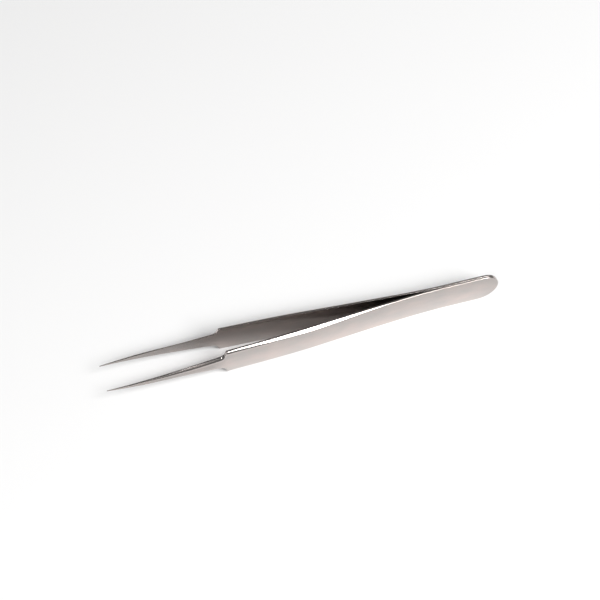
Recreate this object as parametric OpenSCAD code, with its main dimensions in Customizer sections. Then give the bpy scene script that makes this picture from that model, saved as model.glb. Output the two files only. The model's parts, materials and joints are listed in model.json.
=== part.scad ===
// Precision tweezers: two spring-steel arms, welded face to face at the heel.
// They lie on edge, with X along the length, Y across the opening and Z up.
// The tips point along -X. The origin is the centre of the base of the whole part.
// Distances named s run along X from the tip points.

/* [Overall] */
// Overall length, from the tip points to the heel
overall_l = 110; // [105:1:120]
// Width of each arm across its flat inner face
arm_w = 8.1; // [7.6:0.1:9.2]

/* [Thickness of the arms] */
// Thickness at the welded heel
heel_t = 0.62; // [0.5:0.02:0.74]
// Thickness at the finger grip
grip_t = 1.3; // [1.15:0.05:1.5]
// Thickness at the neck, beside the shoulder
neck_t = 1.1; // [0.95:0.05:1.15]
// Thickness at the tip points
tip_t = 0.15; // [0.1:0.05:0.25]

/* [Set of the arms] */
// Length over which the arms lie face to face at the heel
weld_l = 13.4; // [12:0.2:15]
// Angle of each arm as it leaves the heel, in degrees
spread_a = 3.6; // [3.4:0.1:4]
// Steepest angle of each arm, behind the finger grip, in degrees
knee_a = 4.5; // [4:0.1:4.8]
// Angle of each arm at the shoulder, in degrees
shoulder_a = 2.2; // [1.8:0.1:2.8]
// Angle at which each tip turns back in, in degrees
tip_a = 1.8; // [1:0.1:2.2]

/* [Shoulder and tips] */
// Length of the slender tip, from its point to the shoulder
tip_l = 32.4; // [28:0.2:36]
// Width of the tip at its neck, beside the shoulder
neck_w = 4.5; // [4:0.1:5]
// Width of the tip at its point
point_w = 0.24; // [0.2:0.02:0.4]
// Radius of the concave fillet in the shoulder
fillet_r = 1.6; // [1:0.1:2]

/* [Ground bevels] */
// Fall of the bevels on the outer edges, in degrees
bevel_a = 41; // [35:1:43]
// Width of the flat edge land at the shoulder
land_neck = 0.42; // [0.2:0.02:0.5]
// Width of the flat edge land at the finger grip
land_grip = 0.56; // [0.3:0.02:0.6]
// Width of the flat edge land at the heel
land_heel = 0.5; // [0.3:0.02:0.5]

/* [Spot welds] */
// Number of weld nuggets in the row
weld_n = 3; // [2:1:3]
// Diameter of each nugget in the joint plane
weld_d = 2.4; // [1.6:0.1:2.6]
// Distance between neighbouring nuggets
weld_pitch = 3.2; // [2.8:0.1:3.4]
// Depth of each nugget in each arm
weld_depth = 0.25; // [0.15:0.05:0.3]

/* [Flexure] */
// Distance from the heel's end to the line where each arm bends
flexure_l = 22; // [20:1:24]
// Width of the slit that parts each arm at that line
flexure_gap = 0.06; // [0.04:0.01:0.1]

/* [Hidden] */

// Spacing of the points along the bent faces and the long edges
point_step = 2.5;
// Number of steps in each rounded corner and each half of the heel's end
corner_steps = 10;
// Length over which each arm curves away from the weld
flare_l = 12.8;
// Length of the curve from the shoulder's angle to the steepest one, and its start
knee_l = 16.8;
knee_s = tip_l + 6.8;
// Lengths of the stretches at the front where each tip is turned in and parallel
turned_l = 9;
parallel_l = 20;
// Length over which each tip gains its full thickness
point_l = 30;
// Ends of the stretch over which each arm thins, from the grip towards the heel
thin_from = 0.5 * overall_l;
thin_to = overall_l - flexure_l - 6;
// Run of the shoulder's sloped face along the arm
shoulder_run = 0.85;
// Exponents of the growth of each tip in width and thickness
width_power = 1.2;
thick_power = 1.4;
// Lengths of the heel's rounded end above and below its foremost point
heel_end_top = 4.2;
heel_end_low = 5.8;
// Height of the heel's rearmost point above mid-width
heel_rise = 0.6;
// Distance by which cutting solids run past the arm
margin = 2;
reach = 3 * arm_w;

steel = "silver";
weld_steel = "lightgray";

half_w = arm_w / 2;
tip_x = -overall_l / 2;
heel_x = overall_l / 2;
shoulder_x = tip_x + tip_l;
flexure_x = heel_x - flexure_l;

// Angle of an arm's inner face to the centre plane
function face_angle(s) = lookup(s, [
    [0, -tip_a],
    [turned_l, 0],
    [parallel_l, 0.8 * shoulder_a],
    [knee_s, 1.15 * shoulder_a],
    [knee_s + knee_l, knee_a],
    [overall_l - weld_l - flare_l, spread_a],
    [overall_l - weld_l, 0]
]);

// Points along the inner face, from the heel to the tip, as [s, distance from the centre plane]
face_n = ceil(overall_l / point_step);
function face_s(i) = overall_l * (1 - i / face_n);
face = [
    for (
        i = 0, gap = 0;
        i <= face_n;
        gap = gap + overall_l / face_n * tan(face_angle((face_s(i) + face_s(i + 1)) / 2)),
        i = i + 1
    )
    [face_s(i), gap]
];
face_from_tip = [for (i = [face_n : -1 : 0]) face[i]];
function gap_at(s) = lookup(s, face_from_tip);

// Thickness of an arm
function ease(u) = let (v = min(max(u, 0), 1)) v * v * (3 - 2 * v);
function thickness_at(s) =
    s < point_l ? neck_t - (neck_t - tip_t) * pow(1 - s / point_l, thick_power)
    : s < thin_from ? neck_t + (grip_t - neck_t) * ease((s - point_l) / (thin_from - point_l))
    : grip_t - (grip_t - heel_t) * ease((s - thin_from) / (thin_to - thin_from));

// Width of the flat land on an arm's edge, beside the inner face
function land_at(s) = lookup(s, [
    [0, tip_t],
    [0.3 * tip_l, 0.35],
    [0.7 * tip_l, 0.15],
    [tip_l, land_neck],
    [0.5 * overall_l, land_grip],
    [overall_l, land_heel]
]);

// Points on the arc of radius r that rounds the corner b between a and c
function rounded(a, b, c, r) =
    let (
        to_a = (a - b) / norm(a - b),
        to_c = (c - b) / norm(c - b),
        half = acos(to_a * to_c) / 2,
        centre = b + (to_a + to_c) / norm(to_a + to_c) * r / sin(half),
        start = b + to_a * r / tan(half) - centre,
        end = b + to_c * r / tan(half) - centre,
        from = atan2(start.y, start.x),
        swing = atan2(end.y, end.x) - from,
        turn = swing > 180 ? swing - 360 : swing < -180 ? swing + 360 : swing
    )
    [
        for (i = [0 : corner_steps])
            let (a = from + turn * i / corner_steps)
            centre + r * [cos(a), sin(a)]
    ];

// Half width of the slender tip
neck_l = tip_l - shoulder_run;
function tip_half(s) = point_w / 2 + (neck_w - point_w) / 2 * pow(s / neck_l, width_power);

// One edge of the flat blank from the point to the heel, as [x, distance from mid-width].
// end_l is the length of the heel's rounded end on this edge, and rise its height there.
function blank_edge(end_l, rise) =
    let (
        taper_l = neck_l - fillet_r,
        taper_n = ceil(taper_l / point_step),
        straight_l = heel_x - end_l - shoulder_x,
        straight_n = ceil(straight_l / point_step)
    )
    concat(
        [for (i = [0 : taper_n - 1]) let (s = taper_l * i / taper_n) [tip_x + s, tip_half(s)]],
        rounded([tip_x + taper_l - fillet_r, tip_half(taper_l - fillet_r)],
                [tip_x + neck_l, neck_w / 2], [shoulder_x, half_w], fillet_r),
        [for (i = [0 : straight_n - 1]) [shoulder_x + straight_l * i / straight_n, half_w]],
        [
            for (i = [0 : corner_steps])
                let (a = 90 * i / corner_steps)
                [heel_x - end_l * (1 - sin(a)), rise + (half_w - rise) * cos(a)]
        ]
    );
upper_edge = blank_edge(heel_end_top, heel_rise);
lower_edge = blank_edge(heel_end_low, -heel_rise);

// Flat blank of an arm, in its own face, before it is bent
module blank_outline() {
    last = len(lower_edge) - 2;
    polygon(concat(upper_edge, [for (i = [last : -1 : 0]) [lower_edge[i].x, -lower_edge[i].y]]));
}

// Bent and tapered profile of an arm, seen along its width
module bent_profile() {
    polygon(concat(
        [for (p = face) [tip_x + p[0], p[1]]],
        [for (p = face_from_tip) [tip_x + p[0], p[1] + thickness_at(p[0])]]
    ));
}

// Slanted prism that holds everything under the bevel on an upper edge
module under_bevel(edge) {
    fall = tan(bevel_a);
    ridge = [
        for (p = edge)
            let (s = p.x - tip_x)
            [p.x, -(p.y + fall * (gap_at(s) + land_at(s))) * cos(bevel_a)]
    ];
    last = len(ridge) - 1;
    rotate([-90 - bevel_a, 0, 0])
        translate([0, 0, -2 * reach])
            linear_extrude(4 * reach)
                polygon(concat(
                    [[tip_x - margin, ridge[0].y]],
                    ridge,
                    [[heel_x + margin, ridge[last].y], [heel_x + margin, reach], [tip_x - margin, reach]]
                ));
}

// One whole arm on the +Y side, with its mid-width in the XY plane
module arm_blank() {
    intersection() {
        translate([0, 0, -half_w])
            linear_extrude(arm_w)
                bent_profile();
        translate([0, reach, 0])
            rotate([90, 0, 0])
                linear_extrude(2 * reach)
                    blank_outline();
        under_bevel(upper_edge);
        mirror([0, 0, 1])
            under_bevel(lower_edge);
    }
}

// Keeps what lies between two distances along X
module between(x0, x1) {
    intersection() {
        translate([x0, -reach, -reach])
            cube([x1 - x0, 2 * reach, 2 * reach]);
        children();
    }
}

// One lens-shaped weld nugget, centred in the joint plane with its axis along Y
module nugget() {
    lens_r = (weld_d * weld_d / 4 + weld_depth * weld_depth) / (2 * weld_depth);
    rotate([90, 0, 0])
        intersection() {
            translate([0, 0, weld_depth - lens_r])
                sphere(r = lens_r, $fn = 96);
            translate([0, 0, lens_r - weld_depth])
                sphere(r = lens_r, $fn = 96);
        }
}

module nugget_row() {
    for (i = [0 : weld_n - 1])
        translate([heel_x - weld_l / 2 + (i - (weld_n - 1) / 2) * weld_pitch - 1, 0, 0])
            nugget();
}

// Rear of an arm, from the flexure line to the heel, with its share of the welds let in
module heel_half() {
    difference() {
        between(flexure_x + flexure_gap / 2, heel_x + margin)
            arm_blank();
        nugget_row();
    }
}

// Front of an arm, from its points to the flexure line
module arm_half() {
    between(tip_x - margin, flexure_x - flexure_gap / 2)
        arm_blank();
}

module left_heel() {
    color(steel)
        translate([0, 0, half_w])
            mirror([0, 1, 0])
                heel_half();
}

module right_heel() {
    color(steel)
        translate([0, 0, half_w])
            heel_half();
}

module weld_nuggets() {
    color(weld_steel)
        translate([0, 0, half_w])
            nugget_row();
}

module left_arm() {
    color(steel)
        translate([0, 0, half_w])
            mirror([0, 1, 0])
                arm_half();
}

module right_arm() {
    color(steel)
        translate([0, 0, half_w])
            arm_half();
}

left_heel();
right_heel();
weld_nuggets();
left_arm();
right_arm();
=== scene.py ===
import json
import math

import bmesh
import bpy
from bpy.props import FloatProperty, FloatVectorProperty, IntProperty, PointerProperty
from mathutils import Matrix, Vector


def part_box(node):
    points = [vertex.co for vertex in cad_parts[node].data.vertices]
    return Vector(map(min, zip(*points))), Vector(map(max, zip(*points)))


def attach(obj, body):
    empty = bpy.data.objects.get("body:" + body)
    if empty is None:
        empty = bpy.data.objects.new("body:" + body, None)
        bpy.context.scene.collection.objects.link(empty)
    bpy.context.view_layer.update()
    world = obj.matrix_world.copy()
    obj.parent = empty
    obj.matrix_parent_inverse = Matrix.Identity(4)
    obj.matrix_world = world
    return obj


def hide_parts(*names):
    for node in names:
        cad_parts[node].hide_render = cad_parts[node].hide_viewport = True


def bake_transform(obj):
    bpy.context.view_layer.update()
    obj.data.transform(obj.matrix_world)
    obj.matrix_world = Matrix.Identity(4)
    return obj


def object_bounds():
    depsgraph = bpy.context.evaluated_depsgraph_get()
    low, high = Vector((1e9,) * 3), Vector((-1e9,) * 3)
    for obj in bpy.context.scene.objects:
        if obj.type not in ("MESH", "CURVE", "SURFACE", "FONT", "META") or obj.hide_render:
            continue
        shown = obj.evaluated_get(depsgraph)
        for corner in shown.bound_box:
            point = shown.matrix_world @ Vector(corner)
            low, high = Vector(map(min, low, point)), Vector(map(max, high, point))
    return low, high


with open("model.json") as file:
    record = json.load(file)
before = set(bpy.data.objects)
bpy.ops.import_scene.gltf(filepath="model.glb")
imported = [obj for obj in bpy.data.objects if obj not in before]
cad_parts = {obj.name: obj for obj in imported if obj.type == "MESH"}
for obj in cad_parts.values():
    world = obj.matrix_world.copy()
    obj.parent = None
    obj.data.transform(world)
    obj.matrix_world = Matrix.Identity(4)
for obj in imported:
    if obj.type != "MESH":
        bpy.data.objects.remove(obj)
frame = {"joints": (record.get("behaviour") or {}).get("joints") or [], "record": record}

# Precision tweezers that lie on edge: X runs from the points to the heel, Y across the
# opening and Z up along the width of the arms. Lengths are in metres and angles in radians.
# A distance named s runs along X from the points.

bl_info = {
    "name": "Precision Tweezers",
    "version": (1, 0, 0),
    "blender": (4, 5, 0),
    "location": "View3D > Sidebar > Tweezers",
    "description": "Builds fine-point tweezers with two sprung arms welded at the heel",
    "category": "Add Mesh",
}

CAD_LOW, CAD_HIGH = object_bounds()
POINT_X = CAD_LOW.x
HEEL_X = CAD_HIGH.x
OVERALL_LENGTH = HEEL_X - POINT_X
HALF_WIDTH = (CAD_HIGH.z - CAD_LOW.z) / 2
MIDDLE_Z = (CAD_HIGH.z + CAD_LOW.z) / 2
FLEXURE_X = frame["joints"][0]["pos_m"][0]
ARM_COLOR = tuple(frame["record"]["materials"][0]["base_color"])
WELD_COLOR = tuple(frame["record"]["materials"][1]["base_color"])

MM = 0.001
STATION_GAP = 0.4 * MM
MERGE_GAP = 0.0001 * MM
EDGE_NAME = "edge_wear"
LEFT, RIGHT = -1.0, 1.0

# Stretch behind the shoulder where the rounding of the edges changes fastest
EDGE_FADE = 4 * MM

# Shade of the grinding marks and of the worn edges, and how much of each shows at most
MARK_SHADE, WORN_SHADE = 0.82, 1.12
MARK_SHARE, WORN_SHARE = 0.35, 0.5

# Tints of the patches from handling and of the heat on the welds, as red, green and blue
WARM_TINT, COOL_TINT = (1.03, 0.98, 0.97), (0.88, 0.9, 0.91)
STRAW_TINT = (0.9, 0.8, 0.62)

# Painted shade across each flat face: how much darker one long edge is, and how much lighter the other, than
# the middle of the face
FACE_PAINTED_SHADE = 0.14

# How far the smoothest spots lie under the steel's typical roughness, what the grinding marks,
# the streaks and the patches add at most, and what wear takes off
SMOOTHEST = 0.06
GRAIN_ROUGHNESS, STREAK_ROUGHNESS, PATCH_ROUGHNESS = 0.07, 0.05, 0.04
WORN_SMOOTHNESS = 0.06

# The tips: the stretch in front of the shoulder where they change, the least and the most
# that their speckled painted shade darkens them, the size of its spots, and how much rougher the tips are
TIP_FADE = 5 * MM
TIP_PAINTED_SHADE = (0.08, 0.32)
SPECKLE_SIZES = (0.25 * MM, 0.12 * MM, 0.12 * MM)
TIP_ROUGHNESS = 0.04

# Where the camera looks, and the brightness of the room around
LOOK_AT = Vector((1.97 * MM, 10.27 * MM, MIDDLE_Z))
ROOM_STRENGTH = 0.17

# Softboxes, with angles in degrees and lengths in metres. The key gives the main light, the
# small side one a glint in the shoulder's fillet, and the fill brightens the floor.
KEY_SOFTBOX = dict(
    azimuth=42, elevation=42, distance=1.6, width=1.14, height=0.69, radiance=13.5, roll=14,
)
SIDE_SOFTBOX = dict(azimuth=-27, elevation=46, distance=0.7, width=0.15, height=0.15, radiance=12)
FLOOR_FILL = dict(azimuth=0, elevation=85, distance=0.8, width=0.8, height=0.8, radiance=0.2)


def length_prop(name, description, default):
    """A size in metres, shown in the scene's length unit."""
    return FloatProperty(
        name=name, description=description, default=default,
        min=0.0, precision=6, subtype="DISTANCE", unit="LENGTH",
    )


def angle_prop(name, description, degrees):
    """An angle, shown in degrees."""
    return FloatProperty(
        name=name, description=description, default=math.radians(degrees),
        precision=4, subtype="ANGLE", unit="ROTATION",
    )


def color_prop(name, description, default):
    """A linear colour."""
    return FloatVectorProperty(
        name=name, description=description, default=default, min=0.0, max=1.0, size=3, subtype="COLOR",
    )


class TweezerArmSettings(bpy.types.PropertyGroup):
    """Sizes of one arm, before it is bent"""

    heel_thickness: length_prop("Heel Thickness", "Thickness at the welded heel", 0.62 * MM)
    grip_thickness: length_prop("Grip Thickness", "Thickness at the finger grip", 1.3 * MM)
    neck_thickness: length_prop("Neck Thickness", "Thickness beside the shoulder", 1.1 * MM)
    point_thickness: length_prop("Point Thickness", "Thickness at the point", 0.15 * MM)
    neck_width: length_prop("Neck Width", "Width of the slender tip beside the shoulder", 4.5 * MM)
    point_width: length_prop("Point Width", "Width of the slender tip at its point", 0.24 * MM)
    tip_length: length_prop("Tip Length", "From the point to the top of the shoulder", 32.4 * MM)
    shoulder_run: length_prop("Shoulder Run", "Run of the shoulder's slope along the arm", 0.85 * MM)
    fillet_radius: length_prop("Fillet Radius", "Hollow fillet at the foot of the shoulder", 1.6 * MM)
    corner_radius: length_prop("Corner Radius", "Rounded top corner of the shoulder", 0.3 * MM)
    neck_land: length_prop("Neck Land", "Flat edge beside the inner face, at the shoulder", 0.42 * MM)
    grip_land: length_prop("Grip Land", "Flat edge beside the inner face, at the grip", 0.56 * MM)
    heel_land: length_prop("Heel Land", "Flat edge beside the inner face, at the heel", 0.5 * MM)
    bevel_angle: angle_prop("Bevel Angle", "Fall of the ground bevels on the outer edges", 41)
    crown: length_prop("Crown", "How far the outer face bulges between its edges", 0.06 * MM)
    inner_round: length_prop("Inner Edge", "Rounding of the edge of the inner face", 0.07 * MM)
    land_round: length_prop("Land Edge", "Rounding between the land and the bevel", 0.12 * MM)
    soft_round: length_prop("Soft Bevel Edge", "Rounding below the bevel, at the shoulder", 1.6 * MM)
    crisp_round: length_prop("Crisp Bevel Edge", "Rounding below the bevel, behind the grip", 0.12 * MM)
    heel_end_top: length_prop("Heel End Top", "Length of the heel's round end, upper half", 4.2 * MM)
    heel_end_low: length_prop("Heel End Low", "Length of the heel's round end, lower half", 5.8 * MM)
    heel_rise: length_prop("Heel Rise", "Height of the heel's last point above mid-width", 0.6 * MM)
    seam: length_prop("Seam", "Half of the gap left in the joint of the two arms", 0.004 * MM)


class TweezerBendSettings(bpy.types.PropertyGroup):
    """Arcs to which each arm is bent, from the heel forwards"""

    weld_length: length_prop("Weld Length", "Length over which the arms lie together", 13.4 * MM)
    flare_length: length_prop("Flare Length", "Length of the arc that leaves the weld", 12.8 * MM)
    spread_angle: angle_prop("Spread", "Angle of each arm as it leaves the heel", 3.6)
    knee_angle: angle_prop("Knee", "Steepest angle of each arm, behind the grip", 4.5)
    knee_start: length_prop("Knee Start", "From the point to the front of the knee's arc", 39.2 * MM)
    knee_length: length_prop("Knee Length", "Length of the knee's arc", 16.8 * MM)
    grip_angle: angle_prop("Grip", "Angle of each arm at the front of the knee's arc", 2.53)
    neck_angle: angle_prop("Neck", "Angle of each arm at the neck of its tip", 1.76)
    neck_start: length_prop("Neck Start", "From the point to the back of the neck's arc", 20 * MM)
    turned_length: length_prop("Turned Length", "Length of the tip that turns back in", 9 * MM)
    point_angle: angle_prop("Point", "Angle at which the point turns back in", 1.8)


class TweezerWeldSettings(bpy.types.PropertyGroup):
    """The row of spot welds in the heel's joint"""

    count: IntProperty(
        name="Count", description="Number of weld nuggets in the row", default=3, min=2, max=3,
    )


class TweezerSteelSettings(bpy.types.PropertyGroup):
    """Colours and surface of the steel"""

    arm_color: color_prop("Arm Steel", "Reflection colour of the satin-ground arms", ARM_COLOR)
    weld_color: color_prop("Weld Steel", "Reflection colour of the melted nuggets", WELD_COLOR)
    roughness: FloatProperty(
        name="Roughness", description="Typical roughness of the ground faces",
        default=0.17, min=0.05, max=1.0, subtype="FACTOR",
    )
    grain_length: length_prop("Grain Length", "Length of the grinding marks along the arm", 3 * MM)
    grain_width: length_prop("Grain Width", "Distance between neighbouring marks", 0.09 * MM)
    cloud_size: length_prop("Cloud Size", "Size of the faint patches from handling", 7 * MM)


class TweezerStageSettings(bpy.types.PropertyGroup):
    """Floor, lights and camera"""

    floor_size: length_prop("Floor Size", "Side of the square floor", 2.0)
    floor_color: color_prop("Floor", "Colour of the pale floor", (0.9, 0.9, 0.9))
    camera_azimuth: angle_prop("Azimuth", "Camera's turn about the object, from the left arm's side", -17.33)
    camera_elevation: angle_prop("Elevation", "Camera's height above the floor, as an angle", 49.93)
    camera_distance: length_prop("Distance", "From the camera to the point it looks at", 488.8 * MM)
    lens: FloatProperty(name="Lens", description="Focal length in millimetres", default=108.6, min=20.0)


# ---------------------------------------------------------------------- rules of the shape


def eased(u):
    """0 to 1, level at both ends."""
    v = min(max(u, 0.0), 1.0)
    return v * v * (3 - 2 * v)


def between_knots(x, knots):
    """Straight-line value at x between (place, value) pairs."""
    if x <= knots[0][0]:
        return knots[0][1]
    for (x0, y0), (x1, y1) in zip(knots, knots[1:]):
        if x <= x1:
            return y0 + (y1 - y0) * (x - x0) / (x1 - x0)
    return knots[-1][1]


def thickness_at(arm, s):
    """Thickness of the arm at s from its point."""
    point_length, thick_power = 30 * MM, 1.4
    thin_from, thin_to = OVERALL_LENGTH / 2, FLEXURE_X - POINT_X - 6 * MM
    if s < point_length:
        lost = (1 - s / point_length) ** thick_power
        return arm.neck_thickness - (arm.neck_thickness - arm.point_thickness) * lost
    if s < thin_from:
        gain = eased((s - point_length) / (thin_from - point_length))
        return arm.neck_thickness + (arm.grip_thickness - arm.neck_thickness) * gain
    loss = eased((s - thin_from) / (thin_to - thin_from))
    return arm.grip_thickness - (arm.grip_thickness - arm.heel_thickness) * loss


def land_at(arm, s):
    """Width of the flat land on the arm's edges, at most a set share of the thickness."""
    most_share = 0.82
    land = between_knots(s, [
        (0, arm.point_thickness),
        (0.3 * arm.tip_length, 0.35 * MM),
        (0.7 * arm.tip_length, 0.15 * MM),
        (arm.tip_length, arm.neck_land),
        (0.5 * OVERALL_LENGTH, arm.grip_land),
        (OVERALL_LENGTH, arm.heel_land),
    ])
    return min(land, most_share * thickness_at(arm, s))


def bevel_round_at(arm, s):
    """Radius of the edge between the bevel and the outer face, softest at the shoulder."""
    return between_knots(s, [
        (arm.tip_length, arm.soft_round),
        (arm.tip_length + EDGE_FADE, 0.8 * arm.soft_round),
        (0.5 * OVERALL_LENGTH, arm.crisp_round),
    ])


def land_round_at(arm, s):
    """Radius of the edge between the land and the bevel, softest along the tip."""
    return between_knots(s, [
        (arm.tip_length, 0.3 * arm.soft_round),
        (arm.tip_length + EDGE_FADE, arm.land_round),
    ])


def round_corner(a, b, c, radius, steps, share=0.45):
    """Points of the arc that rounds corner b between a and c. It takes up to a share of each
    side."""
    to_a, to_c = (a - b).normalized(), (c - b).normalized()
    half = to_a.angle(to_c) / 2
    reach = min(radius / math.tan(half), share * (a - b).length, share * (c - b).length)
    radius = reach * math.tan(half)
    middle = (to_a + to_c).normalized()
    centre = b + middle * radius / math.sin(half)
    first, last = b + to_a * reach - centre, b + to_c * reach - centre
    swing = first.angle_signed(last)
    points = []
    for i in range(steps + 1):
        turn = -swing * i / steps
        spin = Vector((
            first.x * math.cos(turn) - first.y * math.sin(turn),
            first.x * math.sin(turn) + first.y * math.cos(turn),
        ))
        points.append(centre + spin)
    return points


def tip_half_width(arm, s):
    """Half width of the slender tip."""
    width_power = 1.2
    neck_s = arm.tip_length - arm.shoulder_run
    grown = (arm.neck_width - arm.point_width) / 2 * (s / neck_s) ** width_power
    return arm.point_width / 2 + grown


def evenly(start, end, gap):
    """Places from start up to, and without, end."""
    count = max(1, math.ceil((end - start) / gap))
    return [start + (end - start) * i / count for i in range(count)]


class Station:
    """Where one ring of the blank meets the outline: a place and an outward direction on
    the upper and on the lower edge, and how far the ring is closed up, 0 to 1."""

    def __init__(self, upper, lower, up=(0, 1), down=(0, -1), opened=1.0):
        self.upper, self.lower = Vector(upper), Vector(lower)
        self.up, self.down = Vector(up).normalized(), Vector(down).normalized()
        self.opened = opened


def point_stations(arm):
    """The rounded end of the point."""
    steps = 5
    cap = arm.point_width / 2
    stations = []
    for i in range(steps):
        angle = math.pi / 2 * i / steps
        s, opened = cap * (1 - math.cos(angle)), math.sin(angle)
        half = tip_half_width(arm, s) * opened
        stations.append(Station((s, half), (s, -half), opened=opened))
    return stations


def tip_stations(arm):
    """The slender tip, the hollow fillet, the shoulder's slope and its rounded corner."""
    fillet_steps, corner_steps = 14, 8
    neck = Vector((arm.tip_length - arm.shoulder_run, arm.neck_width / 2))
    top = Vector((arm.tip_length, HALF_WIDTH))
    before = neck.x - 2 * arm.fillet_radius
    start = Vector((before, tip_half_width(arm, before)))
    beyond = top + Vector((4 * arm.corner_radius, 0))
    fillet = round_corner(start, neck, top, arm.fillet_radius, fillet_steps)
    corner = round_corner(neck, top, beyond, arm.corner_radius, corner_steps)
    cap = arm.point_width / 2
    taper = [Vector((s, tip_half_width(arm, s))) for s in evenly(cap, before, STATION_GAP)]
    ahead = [start.lerp(fillet[0], i / 3) for i in range(3)]
    slope = [fillet[-1].lerp(corner[0], i / 4) for i in range(1, 4)]
    edge = taper + ahead + fillet + slope + corner
    return [Station(p, (p.x, -p.y)) for p in edge]


def body_stations(arm, start):
    """The straight edges, from the shoulder's corner to the heel's round end."""
    upper_end = OVERALL_LENGTH - arm.heel_end_top
    lower_end = OVERALL_LENGTH - arm.heel_end_low
    stations = []
    for s in evenly(start + STATION_GAP / 2, upper_end, STATION_GAP):
        share = (s - start) / (upper_end - start)
        low = start + (lower_end - start) * share
        stations.append(Station((s, HALF_WIDTH), (low, -HALF_WIDTH)))
    return stations


def heel_stations(arm):
    """The heel's round end: two quarter ellipses that meet in its last point."""
    steps = 26
    tall, low = HALF_WIDTH - arm.heel_rise, HALF_WIDTH + arm.heel_rise
    stations = []
    for i in range(steps + 1):
        angle = math.pi / 2 * i / steps
        sin, cos = math.sin(angle), math.cos(angle)
        upper = (OVERALL_LENGTH - arm.heel_end_top * (1 - sin), arm.heel_rise + tall * cos)
        lower = (OVERALL_LENGTH - arm.heel_end_low * (1 - sin), arm.heel_rise - low * cos)
        stations.append(Station(
            upper, lower, (sin / arm.heel_end_top, cos / tall), (sin / arm.heel_end_low, -cos / low)
        ))
    return stations


# ------------------------------------------------------------------------ mesh of the blank


def rim_section(arm, s):
    """Section of one long edge, as (inset from the outline, depth from the joint plane) with
    its wear: from the inner face round the land and the bevel to the outer face."""
    thickness, land = thickness_at(arm, s), land_at(arm, s)
    shoulder = thickness - arm.crown * min(1.0, thickness / arm.grip_thickness)
    fall = math.tan(arm.bevel_angle) * (shoulder - land)
    inside = Vector((arm.point_width / 2 + fall, arm.seam))
    inner = Vector((0, arm.seam))
    outer = Vector((0, land))
    foot = Vector((fall, shoulder))
    face_slope = 2 * (thickness - shoulder) / HALF_WIDTH
    beyond = foot + Vector((1, face_slope)) * 4 * arm.soft_round
    inner_arc = round_corner(inside, inner, outer, arm.inner_round, 4)
    land_arc = round_corner(inner, outer, foot, land_round_at(arm, s), 4, 0.7)
    foot_arc = round_corner(outer, foot, beyond, bevel_round_at(arm, s), 8, 0.75)
    support = 0.12
    bevel = [land_arc[-1].lerp(foot_arc[0], u) for u in (support, 0.5, 1 - support)]
    middle = [inner_arc[-1].lerp(land_arc[0], u) for u in (support, 1 - support)]
    section = inner_arc + middle + land_arc + bevel + foot_arc
    worn = (
        [0.3, 0.8, 1.0, 0.8, 0.3] + [0, 0] + [0.3, 0.8, 1.0, 0.8, 0.3] + [0, 0, 0]
        + [0.1, 0.2, 0.5, 0.8, 1.0, 0.8, 0.5, 0.2, 0.1]
    )
    return list(zip(section, worn))


def face_shares(count):
    """Even shares across a face, with one more close to each edge to keep its shading flat."""
    close = 0.012
    return [close] + [i / count for i in range(1, count)] + [1 - close]


def nugget_sizes(weld):
    """Radius, depth, pitch and first centre of the row of nuggets, from the packed node."""
    low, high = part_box("weld_nuggets")
    radius = (high.z - low.z) / 2
    pitch = (high.x - low.x - 2 * radius) / (weld.count - 1)
    return radius, high.y, pitch, low.x + radius


def nugget_depth(radius, depth, distance):
    """Depth of a lens-shaped nugget at a distance from its centre."""
    if distance >= radius:
        return 0.0
    ball = (radius ** 2 + depth ** 2) / (2 * depth)
    return math.sqrt(ball ** 2 - distance ** 2) - (ball - depth)


def pocket_depth(weld, x, z):
    """Depth of the pocket that a nugget fills in the inner face."""
    clearance = 0.01 * MM
    radius, depth, pitch, first = nugget_sizes(weld)
    deepest = 0.0
    for i in range(weld.count):
        distance = math.hypot(x - first - i * pitch, z)
        deepest = max(deepest, nugget_depth(radius + clearance, depth + clearance, distance))
    return deepest


def ring_points(arm, weld, station):
    """One closed ring of the blank, as (x, depth, z, wear)."""
    inner_steps, outer_steps = 26, 14
    weld_start = OVERALL_LENGTH - 14 * MM

    def rim(edge, out):
        points = []
        for (inset, depth), wear in rim_section(arm, edge.x):
            place = edge - out * inset * station.opened
            points.append((place.x, depth, place.y, wear))
        return points

    top, low = rim(station.upper, station.up), rim(station.lower, station.down)
    ring = []
    for share in face_shares(inner_steps):
        x, z = (a + (b - a) * share for a, b in ((low[0][0], top[0][0]), (low[0][2], top[0][2])))
        pocket = pocket_depth(weld, POINT_X + x, z) if x > weld_start else 0.0
        ring.append((x, max(arm.seam, pocket), z, 0.0))
    ring += top
    for share in face_shares(outer_steps):
        x, y, z = (a + (b - a) * share for a, b in zip(top[-1][:3], low[-1][:3]))
        thickness = thickness_at(arm, x)
        bulge = (thickness - y) * 4 * share * (1 - share)
        ring.append((x, y + bulge, z, 0.0))
    ring += reversed(low)
    half = thickness_at(arm, station.upper.x) / 2
    return [(x, half + (y - half) * station.opened, z, wear) for x, y, z, wear in ring]


def arm_blank(arm, weld):
    """Mesh of one whole arm, flat, with its inner face in the joint plane."""
    stations = point_stations(arm) + tip_stations(arm)
    stations += body_stations(arm, stations[-1].upper.x) + heel_stations(arm)
    bm = bmesh.new()
    wear_layer = bm.verts.layers.float.new(EDGE_NAME)
    rings = []
    for station in stations:
        ring = []
        for x, y, z, wear in ring_points(arm, weld, station):
            vert = bm.verts.new((POINT_X + x, y, z))
            vert[wear_layer] = wear
            ring.append(vert)
        rings.append(ring)
    for ring, following in zip(rings, rings[1:]):
        count = len(ring)
        for i in range(count):
            j = (i + 1) % count
            bm.faces.new((ring[i], ring[j], following[j], following[i]))
    bmesh.ops.remove_doubles(bm, verts=bm.verts, dist=MERGE_GAP)
    bmesh.ops.recalc_face_normals(bm, faces=bm.faces)
    for face in bm.faces:
        face.smooth = True
    mesh = bpy.data.meshes.new("arm_blank")
    bm.to_mesh(mesh)
    bm.free()
    return mesh


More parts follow.
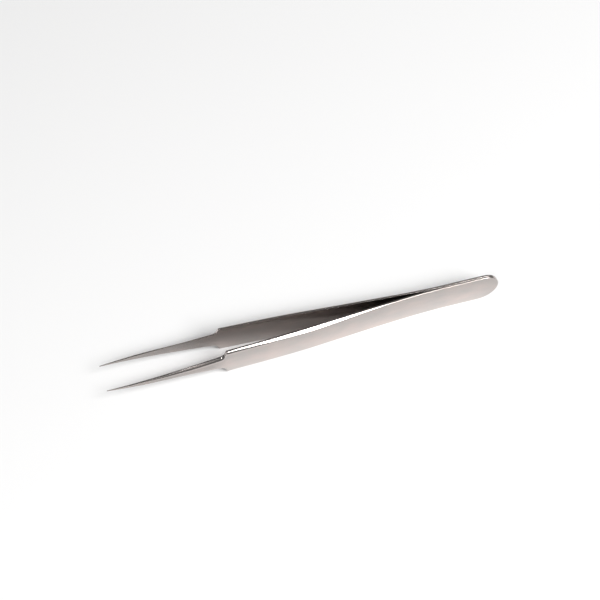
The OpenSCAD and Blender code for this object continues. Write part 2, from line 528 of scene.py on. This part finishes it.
def nugget_blank(weld):
    """Mesh of one lens-shaped nugget, centred on the origin with its axis along Y."""
    rings, sides = 8, 40
    radius, depth, _, _ = nugget_sizes(weld)
    bm = bmesh.new()
    profile = []
    for i in range(rings + 1):
        distance = radius * math.sin(math.pi / 2 * i / rings)
        profile.append((distance, nugget_depth(radius, depth, distance)))
    profile += [(distance, -rise) for distance, rise in reversed(profile[:-1])]
    verts = [bm.verts.new((distance, rise, 0)) for distance, rise in profile]
    edges = [bm.edges.new(pair) for pair in zip(verts, verts[1:])]
    bmesh.ops.spin(
        bm, geom=verts + edges, axis=(0, 1, 0), cent=(0, 0, 0), angle=2 * math.pi, steps=sides,
    )
    bmesh.ops.remove_doubles(bm, verts=bm.verts, dist=MERGE_GAP * 10)
    bmesh.ops.recalc_face_normals(bm, faces=bm.faces)
    for face in bm.faces:
        face.smooth = True
    mesh = bpy.data.meshes.new("nugget_blank")
    bm.to_mesh(mesh)
    bm.free()
    return mesh


# ---------------------------------------------------------------------------- node trees


def new_group(name, inputs, outputs):
    """A geometry node group with named sockets. Returns it with its two end nodes."""
    group = bpy.data.node_groups.new(name, "GeometryNodeTree")
    for direction, sockets in (("INPUT", inputs), ("OUTPUT", outputs)):
        for socket_name, kind in sockets:
            group.interface.new_socket(name=socket_name, in_out=direction, socket_type="NodeSocket" + kind)
    return group, group.nodes.new("NodeGroupInput"), group.nodes.new("NodeGroupOutput")


def feed(group, socket, value):
    """Links a socket to a value that is a socket, or sets it."""
    if isinstance(value, bpy.types.NodeSocket):
        group.links.new(value, socket)
    else:
        socket.default_value = value


def add_math(group, operation, first, second=0.0, third=0.0):
    """A Math node's result."""
    node = group.nodes.new("ShaderNodeMath")
    node.operation = operation
    for socket, value in zip(node.inputs, (first, second, third)):
        feed(group, socket, value)
    return node.outputs[0]


def add_node(group, kind, settings=(), **inputs):
    """A node with its properties set and its named inputs fed."""
    node = group.nodes.new(kind)
    for key, value in dict(settings).items():
        setattr(node, key, value)
    for key, value in inputs.items():
        feed(group, node.inputs[key.replace("_", " ")], value)
    return node


def one_bend_group():
    """Sideways offset of a point from one arc: none behind it, growing along it and straight
    on in front of it."""
    group, given, result = new_group(
        "one_bend",
        [("Distance", "Float"), ("Start", "Float"), ("Length", "Float"), ("Turn", "Float")],
        [("Offset", "Float")],
    )
    distance, start, length, turn = given.outputs[:4]
    into = add_math(group, "MAXIMUM", add_math(group, "SUBTRACT", start, distance), 0.0)
    past = add_math(group, "MAXIMUM", add_math(group, "SUBTRACT", into, length), 0.0)
    squares = add_math(
        group, "SUBTRACT", add_math(group, "POWER", into, 2.0), add_math(group, "POWER", past, 2.0),
    )
    rate = add_math(group, "DIVIDE", turn, add_math(group, "MULTIPLY", length, 2.0))
    group.links.new(add_math(group, "MULTIPLY", squares, rate), result.inputs[0])
    return group


def arc_table(bend):
    """Each arc's name, start from the point, length and turn, from the heel forwards."""
    flare_s = OVERALL_LENGTH - bend.weld_length
    spread_s = flare_s - bend.flare_length
    knee_s = bend.knee_start + bend.knee_length
    return [
        ("Flare", flare_s, bend.flare_length, bend.spread_angle),
        ("Spread", spread_s, spread_s - knee_s, bend.knee_angle - bend.spread_angle),
        ("Knee", knee_s, bend.knee_length, bend.grip_angle - bend.knee_angle),
        ("Grip", bend.knee_start, bend.knee_start - bend.neck_start, bend.neck_angle - bend.grip_angle),
        ("Neck", bend.neck_start, bend.neck_start - bend.turned_length, -bend.neck_angle),
        ("Point", bend.turned_length, bend.turned_length, -bend.point_angle),
    ]


def bent_arm_group(arc_names):
    """Bends the flat blank arc by arc, lifts it to its height and mirrors the left arm."""
    sockets = [("Blank", "Geometry"), ("Steel", "Material"), ("Side", "Float")]
    sockets += [("Point X", "Float"), ("Middle Z", "Float")]
    for name in arc_names:
        sockets += [(f"{name} {size}", "Float") for size in ("Start", "Length", "Turn")]
    group, given, result = new_group("bent_arm", sockets, [("Arm", "Geometry")])
    bend = one_bend_group()
    position = add_node(group, "GeometryNodeInputPosition")
    place = add_node(group, "ShaderNodeSeparateXYZ", Vector=position.outputs[0])
    distance = add_math(group, "SUBTRACT", place.outputs["X"], given.outputs["Point X"])
    offset = place.outputs["Y"]
    for name in arc_names:
        one = add_node(
            group, "GeometryNodeGroup", {"node_tree": bend}, Distance=distance,
            Start=given.outputs[f"{name} Start"], Length=given.outputs[f"{name} Length"],
            Turn=given.outputs[f"{name} Turn"],
        )
        offset = add_math(group, "ADD", offset, one.outputs[0])
    bent = add_node(
        group, "ShaderNodeCombineXYZ", X=place.outputs["X"],
        Y=add_math(group, "MULTIPLY", offset, given.outputs["Side"]),
        Z=add_math(group, "ADD", place.outputs["Z"], given.outputs["Middle Z"]),
    )
    moved = add_node(
        group, "GeometryNodeSetPosition", Geometry=given.outputs["Blank"], Position=bent.outputs[0],
    )
    mirrored = add_node(
        group, "FunctionNodeCompare", {"data_type": "FLOAT", "operation": "LESS_THAN"},
        A=given.outputs["Side"],
    )
    turned = add_node(
        group, "GeometryNodeFlipFaces", Mesh=moved.outputs[0], Selection=mirrored.outputs[0],
    )
    real = add_node(group, "GeometryNodeRealizeInstances", Geometry=turned.outputs[0])
    painted = add_node(
        group, "GeometryNodeSetMaterial", Geometry=real.outputs[0], Material=given.outputs["Steel"],
    )
    group.links.new(painted.outputs[0], result.inputs[0])
    return group


def nugget_row_group():
    """Sets a row of nuggets along X."""
    sockets = [("Nugget", "Geometry"), ("Steel", "Material")]
    sockets += [("Count", "Int"), ("First", "Vector"), ("Pitch", "Float")]
    group, given, result = new_group("nugget_row", sockets, [("Nuggets", "Geometry")])
    step = add_node(group, "ShaderNodeCombineXYZ", X=given.outputs["Pitch"])
    row = add_node(
        group, "GeometryNodeMeshLine", {"mode": "OFFSET"}, Count=given.outputs["Count"],
        Start_Location=given.outputs["First"], Offset=step.outputs[0],
    )
    placed = add_node(
        group, "GeometryNodeInstanceOnPoints", Points=row.outputs[0], Instance=given.outputs["Nugget"],
    )
    real = add_node(group, "GeometryNodeRealizeInstances", Geometry=placed.outputs[0])
    painted = add_node(
        group, "GeometryNodeSetMaterial", Geometry=real.outputs[0], Material=given.outputs["Steel"],
    )
    group.links.new(painted.outputs[0], result.inputs[0])
    return group


def grown_piece(name, blank, group, values):
    """Runs a geometry node group on a mesh and keeps the result as a plain mesh object."""
    obj = bpy.data.objects.new(name, blank)
    bpy.context.scene.collection.objects.link(obj)
    modifier = obj.modifiers.new(group.name, "NODES")
    modifier.node_group = group
    for item in group.interface.items_tree:
        if item.in_out == "INPUT" and item.name in values:
            modifier[item.identifier] = values[item.name]
    bpy.context.view_layer.update()
    graph = bpy.context.evaluated_depsgraph_get()
    mesh = bpy.data.meshes.new_from_object(obj.evaluated_get(graph))
    if not mesh.polygons:
        raise RuntimeError(f"{group.name} made no faces for {name}")
    obj.modifiers.remove(modifier)
    mesh.name = name
    obj.data = mesh
    return obj


# ----------------------------------------------------------------------------- materials


def new_material(name):
    """A material with an empty tree, its shader and the object's coordinates."""
    material = bpy.data.materials.new(name)
    material.use_nodes = True
    tree = material.node_tree
    tree.nodes.clear()
    shader = tree.nodes.new("ShaderNodeBsdfPrincipled")
    output = tree.nodes.new("ShaderNodeOutputMaterial")
    tree.links.new(shader.outputs[0], output.inputs["Surface"])
    place = tree.nodes.new("ShaderNodeTexCoord").outputs["Object"]
    return material, tree, shader, place


def stretched_noise(tree, place, sizes, detail=3.0, roughness=0.5):
    """Noise whose features have the given sizes along X, Y and Z, from 0 to 1."""
    mapping = add_node(
        tree, "ShaderNodeMapping", Vector=place, Scale=tuple(1 / size for size in sizes),
    )
    noise = add_node(
        tree, "ShaderNodeTexNoise", Vector=mapping.outputs[0], Scale=1.0, Detail=detail, Roughness=roughness,
    )
    return noise.outputs["Fac"]


def spread(tree, value, low, high, start=0.3, end=0.7):
    """Maps a value's middle range to low and high."""
    node = tree.nodes.new("ShaderNodeMapRange")
    for socket, number in zip(node.inputs[1:5], (start, end, low, high)):
        socket.default_value = number
    feed(tree, node.inputs[0], value)
    return node.outputs[0]


def mixed_color(tree, share, first, second):
    """A colour between two."""
    node = tree.nodes.new("ShaderNodeMix")
    node.data_type = "RGBA"
    feed(tree, node.inputs[0], share)
    for socket, value in zip(node.inputs[6:8], (first, second)):
        feed(tree, socket, value if isinstance(value, bpy.types.NodeSocket) else (*value, 1.0))
    return node.outputs[2]


def shaded(color, factor):
    """A colour made lighter or darker."""
    return tuple(min(1.0, channel * factor) for channel in color)


def tinted(color, tint):
    """A colour with each channel multiplied by a tint's."""
    return tuple(channel * share for channel, share in zip(color, tint))


def painted_shade_mask(tree, place):
    """Mask of the painted shade across each flat face: from 0 at the lower edge to 1 at the upper
    one on the outer faces, and the other way on the inner ones."""
    at = add_node(tree, "ShaderNodeSeparateXYZ", Vector=place)
    normal = tree.nodes.new("ShaderNodeTexCoord").outputs["Normal"]
    facing = add_node(tree, "ShaderNodeSeparateXYZ", Vector=normal)
    outward = add_math(tree, "MULTIPLY", add_math(tree, "SIGN", at.outputs["Y"]), facing.outputs["Y"])
    height = add_math(tree, "DIVIDE", at.outputs["Z"], 2 * MIDDLE_Z)
    side = spread(tree, outward, -1.0, 1.0, -0.5, 0.5)
    rising = add_math(tree, "MULTIPLY", side, add_math(tree, "SUBTRACT", height, 0.5))
    return add_math(tree, "ADD", rising, 0.5)


def arm_steel_material(steel, shoulder_x):
    """Satin-ground stainless steel: lengthwise grinding marks, faint patches from handling,
    edges burnished by use, and rougher tips darkened by speckled painted shade. Painted shade across
    each face is part of the colour too: outer faces darken towards their upper edge, inner faces towards
    their lower one."""
    material, tree, shader, place = new_material("satin_ground_steel")
    long, fine, cloud = steel.grain_length, steel.grain_width, steel.cloud_size
    grain = stretched_noise(tree, place, (long, fine, fine), 4.0, 0.65)
    streak = stretched_noise(tree, place, (6 * long, 5 * fine, 5 * fine), 2.0)
    patch = stretched_noise(tree, place, (cloud, cloud / 3, cloud / 3), 3.0)
    wear = add_node(tree, "ShaderNodeAttribute", {"attribute_name": EDGE_NAME}).outputs["Fac"]
    warm, cool = tinted(steel.arm_color, WARM_TINT), tinted(steel.arm_color, COOL_TINT)
    tone = mixed_color(tree, spread(tree, patch, 0.0, 1.0), cool, warm)
    mark = shaded(steel.arm_color, MARK_SHADE)
    marked = mixed_color(tree, spread(tree, grain, 0.0, MARK_SHARE), tone, mark)
    along = add_node(tree, "ShaderNodeSeparateXYZ", Vector=place).outputs["X"]
    tip = spread(tree, along, 1.0, 0.0, shoulder_x - TIP_FADE, shoulder_x)
    speckle = stretched_noise(tree, place, SPECKLE_SIZES, 1.0)
    # Painted shade: outer faces darker towards their upper edge and lighter towards their lower one, inner
    # faces the other way
    painted_shade = spread(tree, painted_shade_mask(tree, place), 1 + FACE_PAINTED_SHADE, 1 - FACE_PAINTED_SHADE, 0.0, 1.0)
    # Painted shade: the tips darkened in speckles, fading out towards the shoulder
    tip_painted_shade = add_math(tree, "MULTIPLY", tip, spread(tree, speckle, *TIP_PAINTED_SHADE))
    painted_shade = add_math(tree, "SUBTRACT", painted_shade, tip_painted_shade)
    ground = add_node(tree, "ShaderNodeVectorMath", {"operation": "SCALE"}, Vector=marked, Scale=painted_shade)
    shown = add_math(tree, "MULTIPLY", wear, WORN_SHARE)
    bright = mixed_color(tree, shown, ground.outputs[0], shaded(steel.arm_color, WORN_SHADE))
    tree.links.new(bright, shader.inputs["Base Color"])
    rough = steel.roughness - SMOOTHEST
    for marks, most in ((grain, GRAIN_ROUGHNESS), (streak, STREAK_ROUGHNESS), (patch, PATCH_ROUGHNESS)):
        rough = add_math(tree, "ADD", rough, spread(tree, marks, 0.0, most))
    rough = add_math(tree, "SUBTRACT", rough, add_math(tree, "MULTIPLY", wear, WORN_SMOOTHNESS))
    rough = add_math(tree, "ADD", rough, add_math(tree, "MULTIPLY", tip, TIP_ROUGHNESS))
    tree.links.new(rough, shader.inputs["Roughness"])
    height = add_math(tree, "ADD", grain, add_math(tree, "MULTIPLY", streak, 0.6))
    bump = add_node(tree, "ShaderNodeBump", Strength=0.4, Distance=0.005 * MM, Height=height)
    tree.links.new(bump.outputs[0], shader.inputs["Normal"])
    shader.inputs["Metallic"].default_value = 1.0
    return material


def weld_steel_material(steel):
    """Steel that has melted and set: dimpled, with a straw tint from the heat."""
    material, tree, shader, place = new_material("melted_weld_steel")
    dimple = stretched_noise(tree, place, (0.25 * MM,) * 3, 4.0)
    tint = stretched_noise(tree, place, (1.2 * MM,) * 3, 2.0)
    straw = tinted(steel.weld_color, STRAW_TINT)
    color = mixed_color(tree, spread(tree, tint, 0.0, 1.0), tuple(steel.weld_color), straw)
    tree.links.new(color, shader.inputs["Base Color"])
    tree.links.new(spread(tree, dimple, 0.35, 0.5), shader.inputs["Roughness"])
    bump = add_node(tree, "ShaderNodeBump", Strength=0.4, Distance=0.01 * MM, Height=dimple)
    tree.links.new(bump.outputs[0], shader.inputs["Normal"])
    shader.inputs["Metallic"].default_value = 1.0
    return material


def floor_material(stage):
    """Plain matt paper with a barely visible tooth."""
    material, tree, shader, place = new_material("pale_paper")
    tooth = stretched_noise(tree, place, (1.5 * MM,) * 3, 2.0)
    color = mixed_color(tree, tooth, shaded(stage.floor_color, 0.995), tuple(stage.floor_color))
    tree.links.new(color, shader.inputs["Base Color"])
    shader.inputs["Roughness"].default_value = 0.9
    shader.inputs["Specular IOR Level"].default_value = 0.1
    return material


# --------------------------------------------------------------------------------- stage


def direction(azimuth, elevation):
    """Unit direction from the object, where azimuth 0 is the left arm's side and positive
    azimuths turn towards the heel."""
    flat = math.cos(elevation)
    return Vector((math.sin(azimuth) * flat, -math.cos(azimuth) * flat, math.sin(elevation)))


def aim(obj, target):
    """Turns a camera or light to face a point."""
    obj.rotation_euler = (target - obj.location).to_track_quat("-Z", "Y").to_euler()


def add_camera(stage):
    """The main view: a long lens, above the floor on the left arm's side."""
    data = bpy.data.cameras.new("main_camera")
    data.lens = stage.lens
    data.clip_start = 0.01
    data.clip_end = 10.0
    camera = bpy.data.objects.new("main_camera", data)
    bpy.context.scene.collection.objects.link(camera)
    back = direction(stage.camera_azimuth, stage.camera_elevation)
    camera.location = LOOK_AT + back * stage.camera_distance
    aim(camera, LOOK_AT)
    bpy.context.scene.camera = camera


def add_softbox(name, azimuth, elevation, distance, width, height, radiance, roll=0.0):
    """A soft rectangular light that faces the object, with the brightness of its surface."""
    data = bpy.data.lights.new(name, "AREA")
    data.shape = "RECTANGLE"
    data.size, data.size_y = width, height
    data.energy = radiance * width * height * math.pi
    light = bpy.data.objects.new(name, data)
    bpy.context.scene.collection.objects.link(light)
    light.location = direction(math.radians(azimuth), math.radians(elevation)) * distance
    aim(light, Vector((0, 0, MIDDLE_Z)))
    light.rotation_euler.rotate_axis("Z", math.radians(roll))
    return light


def add_floor(stage):
    """The plain floor that the tweezers lie on."""
    drop = 0.01 * MM
    half = stage.floor_size / 2
    bm = bmesh.new()
    corners = [(-half, -half), (half, -half), (half, half), (-half, half)]
    bm.faces.new([bm.verts.new((x, y, CAD_LOW.z - drop)) for x, y in corners])
    mesh = bpy.data.meshes.new("floor")
    bm.to_mesh(mesh)
    bm.free()
    mesh.materials.append(floor_material(stage))
    floor = bpy.data.objects.new("floor", mesh)
    bpy.context.scene.collection.objects.link(floor)


def light_room(strength):
    """An even dim room light."""
    world = bpy.data.worlds.new("studio")
    world.use_nodes = True
    background = world.node_tree.nodes["Background"]
    background.inputs["Color"].default_value = (1.0, 0.99, 0.98, 1.0)
    background.inputs["Strength"].default_value = strength
    bpy.context.scene.world = world


# ----------------------------------------------------------------------------- operators


class TWEEZERS_OT_stage(bpy.types.Operator):
    """Adds the camera, the pale floor and the soft studio lights"""

    bl_idname = "tweezers.stage"
    bl_label = "Stage"

    def execute(self, context):
        stage = context.scene.tweezer_stage
        add_camera(stage)
        add_floor(stage)
        light_room(ROOM_STRENGTH)
        add_softbox("key_softbox", **KEY_SOFTBOX)
        add_softbox("side_softbox", **SIDE_SOFTBOX)
        fill = add_softbox("floor_fill", **FLOOR_FILL)
        fill.visible_glossy = False  # lights the floor without showing in the steel
        settings = context.scene.view_settings
        settings.view_transform = "Standard"
        settings.look = "None"
        return {"FINISHED"}


class TWEEZERS_OT_arms(bpy.types.Operator):
    """Bends both sprung arms from one ground blank"""

    bl_idname = "tweezers.arms"
    bl_label = "Arms"

    def execute(self, context):
        scene = context.scene
        blank = arm_blank(scene.tweezer_arm, scene.tweezer_weld)
        arcs = arc_table(scene.tweezer_bend)
        group = bent_arm_group([arc[0] for arc in arcs])
        steel = arm_steel_material(scene.tweezer_steel, POINT_X + scene.tweezer_arm.tip_length)
        values = {"Steel": steel, "Point X": POINT_X, "Middle Z": MIDDLE_Z}
        for name, start, length, turn in arcs:
            values.update({f"{name} Start": start, f"{name} Length": length, f"{name} Turn": turn})
        for side_name, side in (("left", LEFT), ("right", RIGHT)):
            piece = grown_piece(f"{side_name}_tweezer_arm", blank, group, {**values, "Side": side})
            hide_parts(f"{side_name}_heel", f"{side_name}_arm")
            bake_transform(piece)
        return {"FINISHED"}


class TWEEZERS_OT_welds(bpy.types.Operator):
    """Sets the row of weld nuggets in the heel's joint"""

    bl_idname = "tweezers.welds"
    bl_label = "Spot Welds"

    def execute(self, context):
        weld = context.scene.tweezer_weld
        _, _, pitch, first = nugget_sizes(weld)
        piece = grown_piece("spot_welds", nugget_blank(weld), nugget_row_group(), {
            "Steel": weld_steel_material(context.scene.tweezer_steel),
            "Count": weld.count, "First": (first, 0.0, MIDDLE_Z), "Pitch": pitch,
        })
        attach(piece, "heel")
        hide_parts("weld_nuggets")
        return {"FINISHED"}


class TWEEZERS_PT_panel(bpy.types.Panel):
    """Sizes, finishes and build steps of the tweezers"""

    bl_idname = "TWEEZERS_PT_panel"
    bl_label = "Precision Tweezers"
    bl_space_type = "VIEW_3D"
    bl_region_type = "UI"
    bl_category = "Tweezers"

    def draw(self, context):
        for operator in OPERATORS:
            self.layout.operator(operator.bl_idname)
        for attribute, group in SETTINGS.items():
            box = self.layout.box()
            box.label(text=group.__doc__)
            for name in group.__annotations__:
                box.prop(getattr(context.scene, attribute), name)


OPERATORS = (TWEEZERS_OT_stage, TWEEZERS_OT_arms, TWEEZERS_OT_welds)
SETTINGS = {
    "tweezer_arm": TweezerArmSettings,
    "tweezer_bend": TweezerBendSettings,
    "tweezer_weld": TweezerWeldSettings,
    "tweezer_steel": TweezerSteelSettings,
    "tweezer_stage": TweezerStageSettings,
}


def register():
    """Adds the classes and hangs each group of settings on the scene."""
    for group in (*SETTINGS.values(), *OPERATORS, TWEEZERS_PT_panel):
        bpy.utils.register_class(group)
    for attribute, group in SETTINGS.items():
        setattr(bpy.types.Scene, attribute, PointerProperty(type=group))


def unregister():
    """Takes off what register() added."""
    for attribute in SETTINGS:
        delattr(bpy.types.Scene, attribute)
    for group in (TWEEZERS_PT_panel, *OPERATORS, *SETTINGS.values()):
        bpy.utils.unregister_class(group)


def main():
    """Builds the stage and every piece."""
    register()
    bpy.ops.tweezers.stage()
    bpy.ops.tweezers.arms()
    bpy.ops.tweezers.welds()


if __name__ == "__main__":
    main()
